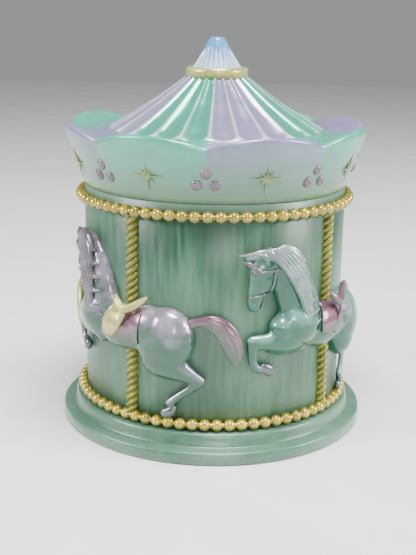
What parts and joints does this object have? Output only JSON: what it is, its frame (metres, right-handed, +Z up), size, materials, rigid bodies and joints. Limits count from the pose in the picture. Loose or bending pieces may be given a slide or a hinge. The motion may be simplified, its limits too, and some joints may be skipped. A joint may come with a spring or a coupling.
{
  "type": "wind-up music box",
  "caption": "Round carousel music box with relief horses, a lift-off tent-roof lid over a trinket well, and a wind-up comb movement with a key under the base.",
  "frame": {"origin": "centre of the base flange's bottom face", "axes": "+Z up along the axis of the drum, towards the spire; -Y is the front of the drum"},
  "size_m": [0.1092, 0.1092, 0.135],
  "materials": {
    "frosted_resin": "frosted translucent cast resin, pale sea green",
    "gold_pearl": "pearly pale gold paint on resin",
    "floor_card": "matt off-white",
    "cover_plastic": "matt dark grey",
    "screw_steel": "zinc plated",
    "movement_casting": "die cast, dull",
    "movement_brass": "turned brass",
    "spring_steel": "tempered, polished",
    "comb_steel": "ground steel",
    "horse_lilac": "pearly lilac silver paint",
    "horse_aqua": "pearly translucent aqua paint",
    "horse_rose": "pearly rose paint",
    "horse_blue": "pearly blue paint",
    "saddle_paint": "pearly mauve and gold paint",
    "roof_lilac": "pearly lilac and aqua paint, glossy",
    "roof_aqua": "pearly aqua and lilac paint, glossy",
    "spire_blue": "pearly blue paint, slightly translucent",
    "berry_mauve": "pearly mauve paint",
    "key_steel": "nickel plated",
    "fan_plastic": "natural white"
  },
  "bodies": {
    "base": {"base_plinth": "frosted_resin", "drum_shell": "frosted_resin", "lower_bead_ring": "gold_pearl", "upper_bead_ring": "gold_pearl", "well_floor": "floor_card", "bottom_cover": "cover_plastic", "cover_screws": "screw_steel", "movement_screws": "screw_steel", "bedplate": "movement_casting", "spring_cup": "movement_casting", "mainspring": "spring_steel", "bearing_post": "movement_casting", "governor_frame": "movement_brass", "governor_cock": "movement_brass", "comb": "comb_steel", "comb_block": "movement_casting", "comb_screws": "screw_steel", "horse_front_left": "horse_lilac", "horse_front_right": "horse_aqua", "horse_back_right": "horse_rose", "horse_back_left": "horse_blue", "saddle_front_left": "saddle_paint", "saddle_front_right": "saddle_paint", "saddle_back_right": "saddle_paint", "saddle_back_left": "saddle_paint", "pole_front_left": "gold_pearl", "pole_front_right": "gold_pearl", "pole_back_right": "gold_pearl", "pole_back_left": "gold_pearl"},
    "lid": {"valance": "roof_lilac", "roof_cone": "roof_aqua", "roof_collar": "gold_pearl", "roof_spire": "spire_blue", "lid_locating_ring": "frosted_resin", "valance_berries": "berry_mauve", "valance_stars": "gold_pearl"},
    "winding_train": {"winding_key": "key_steel", "winding_arbor": "spring_steel", "great_wheel": "movement_brass"},
    "cylinder_train": {"pin_cylinder": "movement_brass", "cylinder_arbor": "spring_steel", "cylinder_pinion": "movement_brass", "cylinder_wheel": "movement_brass"},
    "governor_wheel": {"governor_arbor": "spring_steel", "governor_pinion": "movement_brass", "worm_wheel": "movement_brass"},
    "governor_fan": {"governor_worm": "spring_steel", "governor_fan": "fan_plastic"},
    "stop_lever": {"stop_lever": "key_steel"}
  },
  "joints": [
    {"name": "lid_lift", "type": "slide", "parent": "base", "child": "lid", "axis": [0, 0, 1], "range_m": [0, 0.05]},
    {"name": "winding_turn", "type": "hinge", "parent": "base", "child": "winding_train", "pos_m": [-0.017, 0, 0.01], "axis": [0, 0, 1], "continuous": true},
    {"name": "cylinder_turn", "type": "hinge", "parent": "base", "child": "cylinder_train", "pos_m": [0, 0, 0.0237], "axis": [1, 0, 0], "continuous": true},
    {"name": "governor_wheel_turn", "type": "hinge", "parent": "base", "child": "governor_wheel", "pos_m": [0.02, 0.01012, 0.0237], "axis": [1, 0, 0], "continuous": true},
    {"name": "fan_spin", "type": "hinge", "parent": "base", "child": "governor_fan", "pos_m": [0.0226, 0.01584, 0.03], "axis": [0, 0, 1], "continuous": true},
    {"name": "stop_lever_swing", "type": "hinge", "parent": "base", "child": "stop_lever", "pos_m": [0.033, 0.011, 0.01], "axis": [0, 0, 1], "range_deg": [-24, 6]}
  ],
  "couplings": [
    {"joint": "cylinder_turn", "follows": "winding_turn", "ratio": 2.4},
    {"joint": "governor_wheel_turn", "follows": "winding_turn", "ratio": -7.2},
    {"joint": "fan_spin", "follows": "winding_turn", "ratio": 86.4}
  ]
}
